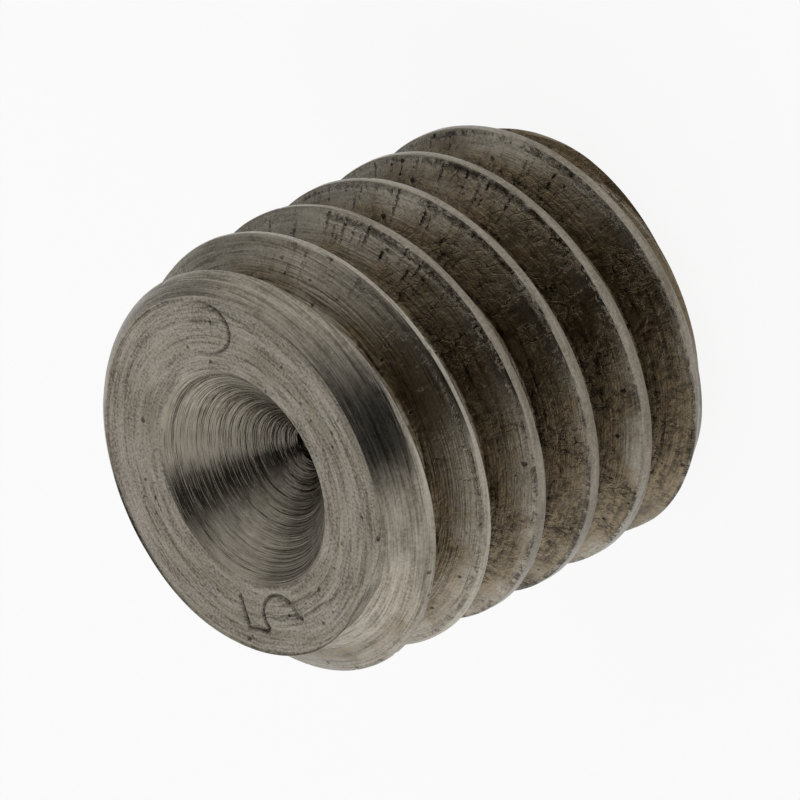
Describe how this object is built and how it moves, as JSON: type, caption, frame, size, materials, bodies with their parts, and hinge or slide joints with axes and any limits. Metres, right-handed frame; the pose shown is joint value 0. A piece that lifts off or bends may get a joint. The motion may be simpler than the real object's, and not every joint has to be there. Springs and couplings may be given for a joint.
{
  "type": "restrictor screw",
  "caption": "Headless M6 x 1 steel restrictor screw, 6 mm long, with a 0.5 mm bore opening into a 90 degree cone and a hexagon socket in the driven end.",
  "frame": {"origin": "centre of the driven end face, on the screw axis", "axes": "+Z along the screw axis, from the driven end to the nozzle face; +X towards the stamped nought, 21.2 degrees ahead of it"},
  "size_m": [0.006, 0.006, 0.006],
  "materials": {
    "steel": "turned, dulled and stained"
  },
  "bodies": {
    "root": {"restrictor_screw": "steel"}
  },
  "joints": []
}
